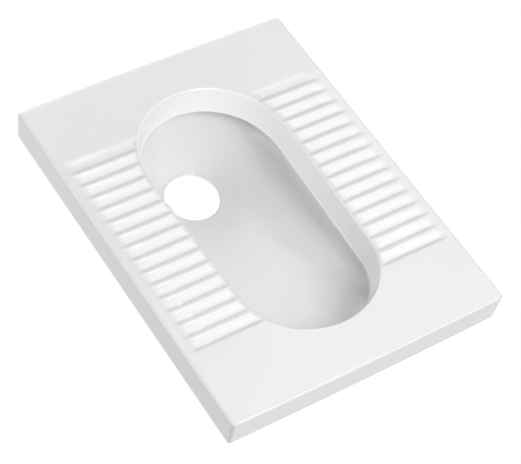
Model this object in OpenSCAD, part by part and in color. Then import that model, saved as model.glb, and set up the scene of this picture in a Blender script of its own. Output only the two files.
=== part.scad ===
// Floor-set squat toilet pan of glazed vitreous china, in millimetres.
// The origin is under the middle of the deck, level with the end of the outlet spigot.
// +Y points to the outlet end, +Z points up, and the mouth is the opening in the deck.

/* [Deck] */
// Width of the deck, left to right
deck_w = 430; // [400:5:480]
// Length of the deck, front to back
deck_l = 560; // [530:5:640]
// Thickness of the china top plate
deck_t = 11; // [9:0.5:14]
// Height of the deck's top above the end of the spigot
deck_top = 200; // [190:1:240]
// Height of the skirt, from the deck's top to its base
skirt_h = 50; // [46:1:60]
// Thickness of the skirt at its base
skirt_t = 10; // [8:0.5:13]
// How far the skirt leans inwards from the edge to its base
skirt_draft = 2.5; // [1:0.5:5]
// Radius of the deck's corners in plan
corner_r = 13; // [11:1:30]
// Radius of the rounded upper edge of the deck
edge_r = 8; // [3:0.5:10]
// Radius of the cove inside, between top plate and skirt
cove_r = 6; // [2:0.5:8]

/* [Mouth] */
// Length of the mouth
mouth_l = 423; // [400:1:430]
// Widest width of the mouth's back part
mouth_back_w = 220; // [212:1:228]
// Widest width of the mouth's front part
mouth_front_w = 207; // [198:1:211]
// Radius of the mouth's back tip
back_tip_r = 108; // [100:1:112]
// Radius of the mouth's front tip
front_tip_r = 115; // [105:1:130]
// Radius of the rounded edge of the mouth
mouth_edge_r = 4; // [3:0.5:5]
// Depth of the curtain wall, from the deck's top to its lower edge
curtain_h = 45; // [42:1:48]
// Thickness of the curtain wall
curtain_t = 8; // [7:0.5:10]
// How far the curtain wall leans into the mouth at its lower edge
curtain_lean = 6; // [3:0.5:7]

/* [Foot ribs] */
// Number of ribs on each side
rib_count = 15; // [9:1:15]
// Distance from one rib to the next
rib_pitch = 22.4; // [18:0.2:23]
// Width of a rib where it meets the deck
rib_w = 19.5; // [12:0.5:20]
// Height of a rib above the deck
rib_h = 3.5; // [2:0.25:5]
// Place of the front rib's crest along the deck, from the middle
rib_front_y = -154; // [-160:0.5:-150]
// Distance of the ribs' outer ends from the deck's side
rib_margin = 13; // [10:1:30]
// Distance of the ribs' inner ends from the mouth
rib_gap = 1; // [1:0.5:8]

/* [Flushing rim] */
// Clear width of the flush channel at its floor
channel_w = 24; // [20:1:28]
// Thickness of the channel's floor and outer wall
channel_t = 8; // [6:0.5:9]
// How far the curtain's lower edge hangs below the channel
curtain_drip = 2; // [1:0.5:3]
// Radius of a flush hole
flush_hole_r = 3; // [2:0.25:3.5]
// Distance from one flush hole to the next
flush_hole_pitch = 27; // [20:1:40]

/* [Bowl] */
// Thickness of the bowl's wall
bowl_t = 9; // [7:0.5:11]
// Clear width of the flush slot between the curtain and the bowl's wall
slot_w = 10; // [9:0.5:12]
// Squareness of the wall's curve, where 2 is a plain ellipse
wall_curve = 2.3; // [2:0.1:3]
// Fall of the floor towards the outlet, in millimetres per millimetre
floor_fall = 0.16; // [0.1:0.01:0.2]
// How suddenly the floor dips into the outlet
outlet_dip = 3; // [2:0.5:6]

/* [Outlet] */
// Radius of the outlet hole and of the spigot's bore
outlet_r = 40; // [36:0.5:43]
// Distance of the outlet's axis from the mouth's back end
outlet_setback = 77.5; // [74:0.5:83]
// Depth of the outlet hole's edge below the deck's top
outlet_depth = 144; // [135:1:150]
// Radius of the outlet's rolled edge
outlet_edge_r = 3.5; // [1:0.5:5]
// Thickness of the spigot's wall
spigot_t = 10; // [8:0.5:11]
// Height of the collar at the top of the spigot, which carries the rubber seal
collar_h = 10; // [8:0.5:14]
// How far the collar stands proud of the spigot
collar_proud = 3; // [2:0.5:5]
// Radius of the cord of the rubber seal round the spigot
outlet_seal_r = 4.5; // [3:0.25:4.75]

/* [Flush inlet] */
// Radius of the flush pipe that the rubber seal holds
flush_pipe_r = 16; // [14:0.5:17]
// Thickness of the rubber seal's wall
seal_t = 2.8; // [2:0.2:4]
// Thickness of the horn's wall
horn_t = 8; // [6:0.5:9]
// Depth of the inlet's axis below the deck's top
inlet_depth = 40; // [39:0.5:42]
// Length of the horn, from the rim to the horn's mouth
horn_l = 29.5; // [27:0.5:33]
// Thickness of the rubber seal's lip
seal_lip_t = 3; // [2:0.5:3.5]
// Width of the rubber seal's lip
seal_lip_w = 4; // [3:0.5:6]

/* [Webs] */
// Number of stiffening webs on each side
web_count = 3; // [2:1:4]
// Distance from one web to the next
web_pitch = 150; // [100:5:160]
// Thickness of a web
web_t = 9; // [7:0.5:12]
// Radius of the arch under a web
web_arch_r = 34; // [30:1:40]
// Rise of the arch above the web's foot
web_arch_rise = 14; // [8:1:18]

/* [Hidden] */
$fn = 96;
// Gap between the rubber seals and the china that they fit
seal_gap = 0.2;
// Overshoot of a cutting solid past the face that it cuts
past = 1;
glaze = "white";
rubber = "dimgray";

// Heights
skirt_base = deck_top - skirt_h;
deck_under = deck_top - deck_t;
curtain_foot = deck_top - curtain_h;
mouth_edge_z = deck_top - mouth_edge_r;
channel_under = curtain_foot + curtain_drip;
channel_floor = channel_under + channel_t;
outlet_z = deck_top - outlet_depth;
inlet_z = deck_top - inlet_depth;

// The mouth is a chain of tangent arcs: tip and shoulder at each end, joined by a line.
// The tip arcs turn this far from the middle line before the shoulders take over.
back_tip_turn = 60;
front_tip_turn = 30;
function shoulder_r(half_w, tip_r, turn) = (half_w - tip_r * sin(turn)) / (1 - sin(turn));
back_r = shoulder_r(mouth_back_w / 2, back_tip_r, back_tip_turn);
front_r = shoulder_r(mouth_front_w / 2, front_tip_r, front_tip_turn);
function polar(a, r) = [r * cos(a), r * sin(a)];
back_join = 90 - back_tip_turn;
front_join = front_tip_turn - 90;
back_tip_c = [0, mouth_l / 2 - back_tip_r];
front_tip_c = [0, front_tip_r - mouth_l / 2];
back_c = back_tip_c + polar(back_join, back_tip_r - back_r);
front_c = front_tip_c + polar(front_join, front_tip_r - front_r);
// Direction of the long sides' outward normal, from +X, where one line touches both shoulders
side_a = atan2(back_c.y - front_c.y, back_c.x - front_c.x)
    - acos((front_r - back_r) / norm(back_c - front_c));
side_back = back_c + polar(side_a, back_r);
side_front = front_c + polar(side_a, front_r);

// Offsets from the mouth's line, outwards
channel_in = curtain_t - curtain_lean;
channel_out = channel_in + channel_w;
rim_out = channel_out + channel_t;
bowl_in = channel_in + slot_w;
flush_hole_at = channel_in + slot_w / 2;

// Each rib is a low crown over a root that is let into the top plate.
rib_r = (rib_w * rib_w / 4 + rib_h * rib_h) / (2 * rib_h);
rib_root = 1.5;
rib_end_x = deck_w / 2 - rib_margin;

outlet_y = mouth_l / 2 - outlet_setback;
spigot_r = outlet_r + spigot_t;
collar_r = spigot_r + collar_proud;
collar_top = outlet_z - bowl_t;
seal_r = flush_pipe_r + seal_t;
socket_r = seal_r + seal_gap;
horn_r = socket_r + horn_t;
// Depth of the shoulder that the rubber seal's sleeve meets in the horn
horn_wall = 6;
horn_start = mouth_l / 2 + rim_out;
horn_end = horn_start + horn_l;
// Window between the horn's socket and the flush channel
window_w = 26;
window_h = 12;
window_sill = 1;
window_z = channel_floor + window_sill;
// Clearance of the skirt's notch round the horn
notch_gap = 2;
// Facets round a flush hole
flush_hole_fn = 24;

// ---- Shapes shared by several pieces ----

// Half-width at y of the mouth's outline moved outwards by d
function mouth_x(y, d) =
    let (
        tip_b = back_tip_c.y + (back_tip_r + d) * sin(back_join),
        line_b = back_c.y + (back_r + d) * sin(side_a),
        line_f = front_c.y + (front_r + d) * sin(side_a),
        tip_f = front_tip_c.y + (front_tip_r + d) * sin(front_join)
    )
    y > tip_b ? sqrt(max(0, pow(back_tip_r + d, 2) - pow(y - back_tip_c.y, 2)))
    : y > line_b ? back_c.x + sqrt(pow(back_r + d, 2) - pow(y - back_c.y, 2))
    : y > line_f ? (side_back * polar(side_a, 1) + d - y * sin(side_a)) / cos(side_a)
    : y > tip_f ? front_c.x + sqrt(pow(front_r + d, 2) - pow(y - front_c.y, 2))
    : sqrt(max(0, pow(front_tip_r + d, 2) - pow(y - front_tip_c.y, 2)));

// Points along one arc, from angle a0 to a1, each with the direction of its normal
function arc_points(c, r, a0, a1, n) =
    [for (i = [0 : n - 1]) let (a = a0 + (a1 - a0) * i / n) [c + polar(a, r), a]];
function mirrored(list) =
    [for (i = [len(list) - 1 : -1 : 0]) [[-list[i][0].x, list[i][0].y], 180 - list[i][1]]];

// Points round the mouth's outline moved outwards by d: the right half, then the left
function mouth_points(d) =
    let (
        front = arc_points(front_tip_c, front_tip_r + d, -90, front_join, 4),
        low = arc_points(front_c, front_r + d, front_join, side_a, 9),
        a = front_c + polar(side_a, front_r + d),
        b = back_c + polar(side_a, back_r + d),
        side = [for (i = [0 : 5]) [a + (b - a) * i / 6, side_a]],
        high = arc_points(back_c, back_r + d, side_a, back_join, 5),
        back = arc_points(back_tip_c, back_tip_r + d, back_join, 90, 10),
        right = concat(front, low, side, high, back),
        tip = [[0, back_tip_c.y + back_tip_r + d], 90]
    )
    concat(right, [tip], [for (i = [0 : len(right) - 2]) mirrored(right)[i]]);

// The mouth's outline moved outwards by d
module mouth_outline(d)
    polygon([for (p = mouth_points(d)) p[0]]);

// The points of one ring of a skin: the mouth's outline moved outwards by q.x, at height q.y
function mouth_ring(q) = [for (p = mouth_points(q.x)) [p[0].x, p[0].y, q.y]];

// Triangles between ring i and the next of a stack of rings with n points each
function ring_faces(i, rings, n) =
    [for (j = [0 : n - 1], half = [0, 1])
        let (
            a = i * n + j,
            b = i * n + (j + 1) % n,
            c = (i + 1) % rings * n + (j + 1) % n,
            d = (i + 1) % rings * n + j
        )
        half == 0 ? [a, b, c] : [a, c, d]];

// A closed tube-like skin through rings, the last ring joined to the first
module ring_skin(rings) {
    n = len(rings[0]);
    polyhedron(
        [for (ring = rings) each ring],
        [for (i = [0 : len(rings) - 1]) each ring_faces(i, len(rings), n)],
        convexity = 4
    );
}

// A solid through rings from the top one down, closed by a flat cap at each end
module ring_plug(rings) {
    n = len(rings[0]);
    last = (len(rings) - 1) * n;
    polyhedron(
        [for (ring = rings) each ring],
        concat(
            [[for (j = [n - 1 : -1 : 0]) j], [for (j = [0 : n - 1]) last + j]],
            [for (i = [0 : len(rings) - 2]) each ring_faces(i, len(rings), n)]
        ),
        convexity = 4
    );
}

// Points along an arc in a section, from angle a0 to a1
function bend(c, r, a0, a1, n) = [for (i = [0 : n]) c + polar(a0 + (a1 - a0) * i / n, r)];

// A drafted block with round corners and a round upper edge, standing on z = 0
module pillow(w, l, h, round_r, lip_r, draft) {
    module section() {
        polygon([[0, 0], [round_r - draft, 0], [round_r, h - lip_r], [round_r - lip_r, h], [0, h]]);
        intersection() {
            translate([round_r - lip_r, h - lip_r]) circle(lip_r);
            square([round_r, h]);
        }
    }
    core_w = w - 2 * round_r;
    core_l = l - 2 * round_r;
    translate([-core_w / 2, -core_l / 2, 0]) cube([core_w, core_l, h]);
    for (side = [0, 1]) rotate(180 * side) {
        translate([core_w / 2, core_l / 2, 0]) rotate([90, 0, 0]) linear_extrude(core_l) section();
        translate([-core_w / 2, core_l / 2, 0]) rotate(90) rotate([90, 0, 0])
            linear_extrude(core_w) section();
        translate([core_w / 2, core_l / 2, 0]) rotate_extrude(angle = 90) section();
        translate([-core_w / 2, core_l / 2, 0]) rotate(90) rotate_extrude(angle = 90) section();
    }
}

// The hollow under the deck, inside the skirt
module deck_hollow() {
    inset = skirt_t + skirt_draft;
    translate([0, 0, skirt_base - past])
        pillow(deck_w - 2 * inset, deck_l - 2 * inset, skirt_h - deck_t + past, cove_r, cove_r, 0);
}

// ---- Deck ----

// Offset at height z of the mouth's face, which leans inwards on its way down
function mouth_face(z) = (z - mouth_edge_z) * curtain_lean / (mouth_edge_z - curtain_foot);

// The opening of the mouth in the top plate, with a round upper edge that ends as a tangent
module mouth_opening() {
    edge_c = [mouth_edge_r, mouth_edge_z];
    open_a = 105;
    flare = polar(open_a, mouth_edge_r) + 2 * polar(open_a - 90, mouth_edge_r);
    section = concat(
        [edge_c + flare],
        bend(edge_c, mouth_edge_r, open_a, 180, 5),
        [[mouth_face(deck_under - past), deck_under - past]]
    );
    ring_plug([for (q = section) mouth_ring(q)]);
}

// A rib's section: its crown, and its root in the top plate
module rib_section() {
    intersection() {
        translate([0, rib_h - rib_r]) circle(rib_r);
        translate([-rib_w / 2, -rib_root]) square([rib_w, rib_root + rib_h]);
    }
}

// The domed end of a rib: half of its section turned about the rib's end
module rib_dome() {
    rotate_extrude(angle = 180) intersection() {
        rib_section();
        translate([0, -rib_root]) square(rib_w);
    }
}

// One foot rib on the right side: a straight crest between two domed ends
module foot_rib(y) {
    inner = round(mouth_x(y, rib_gap + rib_w / 2));
    outer = rib_end_x - rib_w / 2;
    translate([inner, y, deck_top]) {
        rotate(90) rib_dome();
        rotate([90, 0, 90]) linear_extrude(outer - inner) rib_section();
        translate([outer - inner, 0, 0]) rotate(-90) rib_dome();
    }
}

// Arched notch in the back of the skirt for the horn and the flush pipe
module skirt_notch() {
    notch_r = horn_r + notch_gap;
    notch_l = skirt_t + skirt_draft + 2 * past;
    translate([0, deck_l / 2 + past, inlet_z]) rotate([90, 0, 0])
        cylinder(r = notch_r, h = notch_l);
    translate([-notch_r, deck_l / 2 + past - notch_l, skirt_base - past])
        cube([2 * notch_r, notch_l, inlet_z - skirt_base + past]);
}

module deck() {
    color(glaze) {
        difference() {
            translate([0, 0, skirt_base])
                pillow(deck_w, deck_l, skirt_h, corner_r, edge_r, skirt_draft);
            deck_hollow();
            mouth_opening();
            skirt_notch();
        }
        for (side = [0, 1]) mirror([side, 0, 0])
            for (i = [0 : rib_count - 1]) foot_rib(rib_front_y + i * rib_pitch);
    }
}

// ---- Flushing rim ----

// Its children at even steps along one arc
module step_arc(c, r, a0, a1) {
    steps = max(1, round((a1 - a0) * PI / 180 * r / flush_hole_pitch));
    for (i = [0 : steps - 1])
        translate([c.x, c.y, 0]) rotate(a0 + (i + 0.5) * (a1 - a0) / steps) translate([r, 0, 0]) children();
}

// The flush holes, spaced along the slot over the bowl
module flush_holes(d) {
    step_arc(back_tip_c, back_tip_r + d, back_join, 180 - back_join) children();
    step_arc(front_tip_c, front_tip_r + d, -180 - front_join, front_join) children();
    side_l = norm(side_back - side_front);
    steps = round(side_l / flush_hole_pitch);
    for (side = [0, 1]) mirror([side, 0, 0]) {
        step_arc(back_c, back_r + d, side_a, back_join) children();
        step_arc(front_c, front_r + d, front_join, side_a) children();
        translate([side_back.x, side_back.y, 0]) rotate(side_a)
            for (i = [0 : steps - 1]) translate([d, -(i + 0.5) * side_l / steps, 0]) children();
    }
}

// The window that lets flush water out of the horn into the channel
module inlet_window() {
    translate([-window_w / 2, horn_start - channel_t - past, window_z])
        cube([window_w, channel_t + horn_wall + 2 * past, window_h]);
}

// Section of the rim: down the leaning curtain, round its drip edge, out under the channel,
// up the outer wall and back through the channel, which the top plate closes
module rim_ring() {
    foot_r = (channel_in + curtain_lean) / 2;
    bend_r = channel_t;
    section = concat(
        [[mouth_face(deck_under), deck_under]],
        bend([channel_in - foot_r, curtain_foot + foot_r], foot_r, 190, 330, 6),
        [[channel_in, channel_under]],
        [[rim_out, channel_under], [rim_out, deck_under], [channel_out, deck_under]],
        bend([channel_out - bend_r, channel_floor + bend_r], bend_r, 0, -90, 4),
        [[mouth_face(channel_floor) + curtain_t, channel_floor]],
        [[mouth_face(deck_under) + curtain_t, deck_under]]
    );
    ring_skin([for (q = section) mouth_ring(q)]);
}

module flushing_rim() {
    color(glaze)
        difference() {
            rim_ring();
            translate([0, 0, channel_under - past])
                flush_holes(flush_hole_at) cylinder(r = flush_hole_r, h = channel_t + 2 * past,
                    $fn = flush_hole_fn);
            inlet_window();
        }
}

// ---- Bowl ----

outlet_c = [0, outlet_y];
// How far a point in plan lies from the trough's middle line, which is 0, towards its rim, 1
function trough_share(q) =
    let (
        front = front_tip_c.y,
        back = back_tip_c.y,
        along = min(1, max(0, (q.y - front) / (back - front))),
        half_w = bowl_in + (mouth_front_w + (mouth_back_w - mouth_front_w) * along) / 2,
        beyond = q.y > back ? (q.y - back) / (back_tip_r + bowl_in)
            : q.y < front ? (front - q.y) / (front_tip_r + bowl_in) : 0
    )
    norm([q.x / half_w, beyond]);

// One point of the bowl's surface, a share u of the way from the rim point p to the outlet.
// The surface leaves a hole of radius r and lies the given drop below the inner floor.
function bowl_point(p, u, r, drop) =
    let (
        away = p[0] - outlet_c,
        left = (norm(away) - r) * (1 - u),
        q = outlet_c + away / norm(away) * (r + left),
        floor_z = outlet_z - drop + floor_fall * left,
        inwards = max(0, 1 - trough_share(q) / trough_share(p[0])),
        wall = pow(1 - pow(1 - inwards, wall_curve), 1 / wall_curve),
        depth = wall + (1 - wall) * pow(u, outlet_dip)
    )
    [q.x, q.y, channel_under - (channel_under - floor_z) * depth];

// A ring round the outlet's axis of radius q.x at height q.y, in step with the rim's points
function outlet_ring(rim, q) =
    [for (p = rim) let (away = p[0] - outlet_c, c = outlet_c + away / norm(away) * q.x) [c.x, c.y, q.y]];

bowl_steps = 16;
// Rings close together at the steep rim and wider apart on the floor
function bowl_share(i) = pow(i / bowl_steps, 2);

module bowl() {
    inner_rim = mouth_points(bowl_in);
    outer_rim = mouth_points(bowl_in + bowl_t);
    inner = [for (i = [0 : bowl_steps])
        [for (p = inner_rim) bowl_point(p, bowl_share(i), outlet_r + outlet_edge_r, 0)]];
    edge = bend([outlet_r + outlet_edge_r, outlet_z - outlet_edge_r], outlet_edge_r, 90, 180, 4);
    hole = concat([for (i = [1 : len(edge) - 1]) edge[i]], [[outlet_r, collar_top]]);
    outer = [for (i = [bowl_steps : -1 : 0])
        [for (p = outer_rim) bowl_point(p, bowl_share(i), collar_r, bowl_t)]];
    color(glaze)
        ring_skin(concat(inner, [for (q = hole) outlet_ring(inner_rim, q)], outer));
}

// ---- Outlet ----

module outlet_spigot() {
    chamfer = 2;
    color(glaze)
        translate([0, outlet_y, 0])
            difference() {
                union() {
                    cylinder(r1 = spigot_r - chamfer, r2 = spigot_r, h = chamfer);
                    translate([0, 0, chamfer]) cylinder(r = spigot_r, h = collar_top - chamfer);
                    translate([0, 0, collar_top - collar_h]) cylinder(r = collar_r, h = collar_h);
                }
                translate([0, 0, -past]) cylinder(r = outlet_r, h = outlet_z + past);
            }
}

module outlet_seal() {
    color(rubber)
        translate([0, outlet_y, collar_top - outlet_seal_r - seal_gap])
            rotate_extrude() translate([collar_r + outlet_seal_r + seal_gap, 0]) circle(outlet_seal_r);
}

// ---- Flush inlet ----

module inlet_horn() {
    color(glaze)
        difference() {
            translate([0, horn_end, inlet_z]) rotate([90, 0, 0])
                cylinder(r = horn_r, h = horn_l + channel_t);
            linear_extrude(deck_top) mouth_outline(rim_out);
            translate([0, horn_end + past, inlet_z]) rotate([90, 0, 0])
                cylinder(r = socket_r, h = horn_l - horn_wall + past);
            inlet_window();
        }
}

module inlet_seal() {
    sleeve_l = horn_l - horn_wall;
    color(rubber)
        translate([0, horn_end, inlet_z]) rotate([90, 0, 0])
            difference() {
                union() {
                    cylinder(r = seal_r, h = sleeve_l);
                    translate([0, 0, -seal_lip_t]) cylinder(r = seal_r + seal_lip_w, h = seal_lip_t);
                }
                translate([0, 0, -seal_lip_t - past])
                    cylinder(r = flush_pipe_r, h = sleeve_l + seal_lip_t + 2 * past);
            }
}

// ---- Webs ----

// One web on the right side, cut to the hollow of the deck and to the rim's outer wall
module side_web(y) {
    x0 = mouth_x(y, rim_out);
    x1 = deck_w / 2 - skirt_t - skirt_draft;
    mid = (x0 + x1) / 2;
    intersection() {
        difference() {
            translate([x0 - rim_out, y - web_t / 2, channel_under])
                cube([deck_w / 2, web_t, skirt_h]);
            linear_extrude(deck_top) mouth_outline(rim_out);
            translate([mid, y, channel_under + web_arch_rise - web_arch_r]) rotate([90, 0, 0])
                cylinder(r = web_arch_r, h = web_t + 2 * past, center = true);
        }
        deck_hollow();
    }
}

module side_webs() {
    color(glaze)
        for (side = [0, 1]) mirror([side, 0, 0])
            for (i = [0 : web_count - 1]) side_web((i - (web_count - 1) / 2) * web_pitch);
}

deck();
flushing_rim();
bowl();
outlet_spigot();
inlet_horn();
side_webs();
inlet_seal();
outlet_seal();
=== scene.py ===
import math

import bpy
import numpy as np
from mathutils import Matrix, Vector


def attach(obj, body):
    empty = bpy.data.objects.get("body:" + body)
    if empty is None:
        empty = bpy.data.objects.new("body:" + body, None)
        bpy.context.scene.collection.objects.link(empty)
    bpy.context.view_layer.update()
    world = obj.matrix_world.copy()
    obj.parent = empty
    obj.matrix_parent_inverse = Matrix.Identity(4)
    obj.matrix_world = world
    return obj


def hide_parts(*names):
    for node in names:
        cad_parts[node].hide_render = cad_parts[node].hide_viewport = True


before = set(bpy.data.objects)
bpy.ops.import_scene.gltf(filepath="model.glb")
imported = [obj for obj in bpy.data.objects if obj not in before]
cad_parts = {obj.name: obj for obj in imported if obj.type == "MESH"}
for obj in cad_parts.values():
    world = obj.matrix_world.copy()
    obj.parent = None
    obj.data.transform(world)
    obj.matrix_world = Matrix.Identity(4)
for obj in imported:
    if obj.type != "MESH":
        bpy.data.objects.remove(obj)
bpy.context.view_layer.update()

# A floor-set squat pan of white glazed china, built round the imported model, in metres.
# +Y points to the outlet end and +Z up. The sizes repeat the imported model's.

MM = 0.001

# Deck
DECK_W = 430 * MM
DECK_L = 560 * MM
DECK_TOP = 200 * MM
DECK_T = 11 * MM
DECK_UNDER = DECK_TOP - DECK_T
SKIRT_BASE = 150 * MM
SKIRT_T = 10 * MM
SKIRT_DRAFT = 2.5 * MM
SKIRT_EDGE_R = 2.2 * MM
CORNER_R = 6 * MM
EDGE_R = 3.5 * MM
BACK_EDGE_R = 5.8 * MM
COVE_R = 6 * MM
END_BOW = 1.5 * MM
BOW_REACH = 70 * MM

# Mouth, a chain of tangent arcs
MOUTH_L = 423 * MM
BACK_HALF_W = 110 * MM
FRONT_HALF_W = 103.5 * MM
BACK_TIP_R = 108 * MM
FRONT_TIP_R = 115 * MM
BACK_TURN = 60
FRONT_TURN = 30
MOUTH_EDGE_R = 4 * MM
MOUTH_EDGE_Z = DECK_TOP - MOUTH_EDGE_R
CURTAIN_FOOT = 155 * MM
CURTAIN_LEAN = 6 * MM
CURTAIN_T = 8 * MM

# Foot ribs
RIB_COUNT = 15
RIB_PITCH = 22.4 * MM
RIB_W = 20 * MM
RIB_H = 3.5 * MM
RIB_FRONT_Y = -154 * MM
RIB_END_X = 208 * MM
RIB_GAP = 1.8 * MM
RIB_INNER_END = 9 * MM
RIB_OUTER_END = 36 * MM
RIB_GLAZE_FILLET = 0.6 * MM
RIB_FULLNESS = 2.5
REAR_RIB_SLOPE = 13 * MM
GROOVE_BEFORE_CREST = 9.6 * MM
FURROW_BEHIND_CREST = 2.8 * MM
FURROW_HALF_W = 2 * MM
FURROW_DEPTH = 0.12 * MM

# Flushing rim and bowl
CHANNEL_UNDER = 157 * MM
CHANNEL_FLOOR = 165 * MM
CHANNEL_IN = CURTAIN_T - CURTAIN_LEAN
CHANNEL_OUT = CHANNEL_IN + 24 * MM
CHANNEL_BEND_R = 8 * MM
RIM_OUT = CHANNEL_OUT + 8 * MM
RIM_EDGE_R = 3 * MM
BOWL_IN = CHANNEL_IN + 10 * MM
BOWL_T = 9 * MM
WALL_CURVE = 2.3
FLOOR_FALL = 0.16
OUTLET_DIP = 3

# Outlet and flush inlet
OUTLET_R = 40 * MM
OUTLET_Y = 134 * MM
OUTLET_Z = 56 * MM
OUTLET_EDGE_R = 3.5 * MM
COLLAR_R = 53 * MM
COLLAR_TOP = OUTLET_Z - BOWL_T
INLET_Z = 160 * MM
HORN_R = 27 * MM
NOTCH_R = HORN_R + 2 * MM
NOTCH_CORNER_R = 4 * MM


# ---- Outlines ----

def polar(angle, radius):
    """The point, or points, at this angle in degrees and this radius."""
    turn = np.radians(angle)
    return np.stack([np.cos(turn) * radius, np.sin(turn) * radius], axis=-1)


def shoulder_r(half_w, tip_r, turn):
    """Radius of the arc that takes over from the tip and reaches this half-width."""
    share = math.sin(math.radians(turn))
    return (half_w - tip_r * share) / (1 - share)


BACK_R = shoulder_r(BACK_HALF_W, BACK_TIP_R, BACK_TURN)
FRONT_R = shoulder_r(FRONT_HALF_W, FRONT_TIP_R, FRONT_TURN)
BACK_JOIN = 90 - BACK_TURN
FRONT_JOIN = FRONT_TURN - 90
BACK_TIP_C = np.array([0, MOUTH_L / 2 - BACK_TIP_R])
FRONT_TIP_C = np.array([0, FRONT_TIP_R - MOUTH_L / 2])
BACK_C = BACK_TIP_C + polar(BACK_JOIN, BACK_TIP_R - BACK_R)
FRONT_C = FRONT_TIP_C + polar(FRONT_JOIN, FRONT_TIP_R - FRONT_R)
SHOULDERS = BACK_C - FRONT_C
SIDE_A = math.degrees(
    math.atan2(SHOULDERS[1], SHOULDERS[0])
    - math.acos((FRONT_R - BACK_R) / np.linalg.norm(SHOULDERS)))


def mouth_foot(y):
    """The right-hand point of the mouth's outline at y, and its normal's angle in degrees."""
    arcs = (
        (BACK_TIP_C, BACK_TIP_R, BACK_JOIN, 90),
        (BACK_C, BACK_R, SIDE_A, BACK_JOIN),
        (FRONT_C, FRONT_R, FRONT_JOIN, SIDE_A),
        (FRONT_TIP_C, FRONT_TIP_R, -90, FRONT_JOIN),
    )
    for centre, radius, low, high in arcs:
        turn = math.degrees(math.asin(min(1, max(-1, (y - centre[1]) / radius))))
        if low <= turn <= high:
            return centre + polar(turn, radius), turn
    start = FRONT_C + polar(SIDE_A, FRONT_R)
    end = BACK_C + polar(SIDE_A, BACK_R)
    return start + (end - start) * (y - start[1]) / (end[1] - start[1]), SIDE_A


def mirrored(points, turns):
    """The right half of a ring, followed by its mirror image on the way back."""
    left = points[-2:0:-1] * (-1, 1)
    return np.vstack([points, left]), np.concatenate([turns, 180 - turns[-2:0:-1]])


def mouth_feet(ys):
    """Points of the whole outline, with normals, from the ys of its right half."""
    points, turns = zip(*(mouth_foot(y) for y in ys))
    points, turns = mirrored(np.array(points), np.array(turns))
    return points, polar(turns, 1)


def arc_ys(centre, radius, start, end, count):
    """The ys of evenly spaced points on an arc, its last point left out."""
    return [centre[1] + radius * math.sin(math.radians(a))
            for a in np.linspace(start, end, count, endpoint=False)]


# ---- Meshes ----

SHARP_TURN = 40


def glaze_mesh(name, points, faces):
    """An object from points and quads, its normals outwards, smooth but at sharp edges."""
    points = np.asarray(points, dtype=float)
    faces = np.asarray(faces)
    a, b, c, d = (points[faces[:, k]] for k in range(4))
    volume = np.sum(a * np.cross(b, c)) + np.sum(a * np.cross(c, d))
    if volume < 0:
        faces = faces[:, ::-1]
    mesh = bpy.data.meshes.new(name)
    mesh.from_pydata(points.tolist(), [], faces.tolist())
    mesh.shade_smooth()
    mesh.set_sharp_from_angle(angle=math.radians(SHARP_TURN))
    piece = bpy.data.objects.new(name, mesh)
    bpy.context.scene.collection.objects.link(piece)
    return piece


def ring_skin(name, rings):
    """A closed skin through rings of points, the last ring joined to the first."""
    rings = np.asarray(rings)
    count, n, _ = rings.shape
    i, j = np.meshgrid(np.arange(count), np.arange(n), indexing="ij")
    here, up = i * n, (i + 1) % count * n
    faces = np.stack([here + j, here + (j + 1) % n, up + (j + 1) % n, up + j], axis=-1)
    return glaze_mesh(name, rings.reshape(-1, 3), faces.reshape(-1, 4))


def lift(plan, z):
    """Plan points at height z, which is one number or one for each point."""
    return np.column_stack([plan, np.broadcast_to(z, len(plan))])


def arc(centre, radius, start, end, count):
    """Points in a section, along an arc from one angle to the other."""
    return np.asarray(centre) + polar(np.linspace(start, end, count + 1), radius)


def smooth_step(share):
    share = np.clip(share, 0, 1)
    return share * share * (3 - 2 * share)


# ---- Foot ribs ----

RIB_YS = [RIB_FRONT_Y + i * RIB_PITCH for i in range(RIB_COUNT)]


def mouth_distance(plan):
    """How far plan points lie outside the mouth's outline."""
    x, y = np.abs(plan[:, 0]), plan[:, 1]
    away = x * math.cos(math.radians(SIDE_A)) + y * math.sin(math.radians(SIDE_A))
    start = FRONT_C + polar(SIDE_A, FRONT_R)
    distance = away - start @ polar(SIDE_A, 1)
    arcs = ((FRONT_C, FRONT_R, -180, SIDE_A), (FRONT_TIP_C, FRONT_TIP_R, -180, FRONT_JOIN),
            (BACK_C, BACK_R, SIDE_A, 180), (BACK_TIP_C, BACK_TIP_R, BACK_JOIN, 180))
    for centre, radius, low, high in arcs:
        turn = np.degrees(np.arctan2(y - centre[1], x - centre[0]))
        here = (turn > low) & (turn < high)
        distance[here] = np.hypot(x - centre[0], y - centre[1])[here] - radius
    return distance


def rib_height(plan):
    """How far the ribs stand above the deck at plan points, with a fillet of glaze at the foot.

    Their inner ends follow the mouth, and both ends and the back of the rear rib fade out.
    Behind each crest but the rear one's runs a faint furrow."""
    x, y = np.abs(plan[:, 0]), plan[:, 1]
    inner = smooth_step((mouth_distance(plan) - RIB_GAP) / RIB_INNER_END)
    outer = smooth_step((RIB_END_X - x) / RIB_OUTER_END)
    top = np.zeros(len(plan))
    for crest_y in RIB_YS:
        across = y - crest_y
        crest = RIB_H * (1 - (np.abs(across) / (RIB_W / 2)) ** RIB_FULLNESS)
        blend = np.clip(0.5 + crest / (4 * RIB_GLAZE_FILLET), 0, 1)
        swell = crest * blend + RIB_GLAZE_FILLET * blend * (1 - blend)
        if crest_y == RIB_YS[-1]:
            slope = RIB_H * (1 - smooth_step(across / REAR_RIB_SLOPE))
            swell = np.where(across > 0, slope, swell)
        else:
            off_furrow = np.abs(across - FURROW_BEHIND_CREST) / FURROW_HALF_W
            swell = swell - FURROW_DEPTH * (1 - smooth_step(off_furrow))
        top = np.maximum(top, np.minimum(swell, RIB_H) * inner * outer)
    return top


# ---- Deck ----

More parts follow.
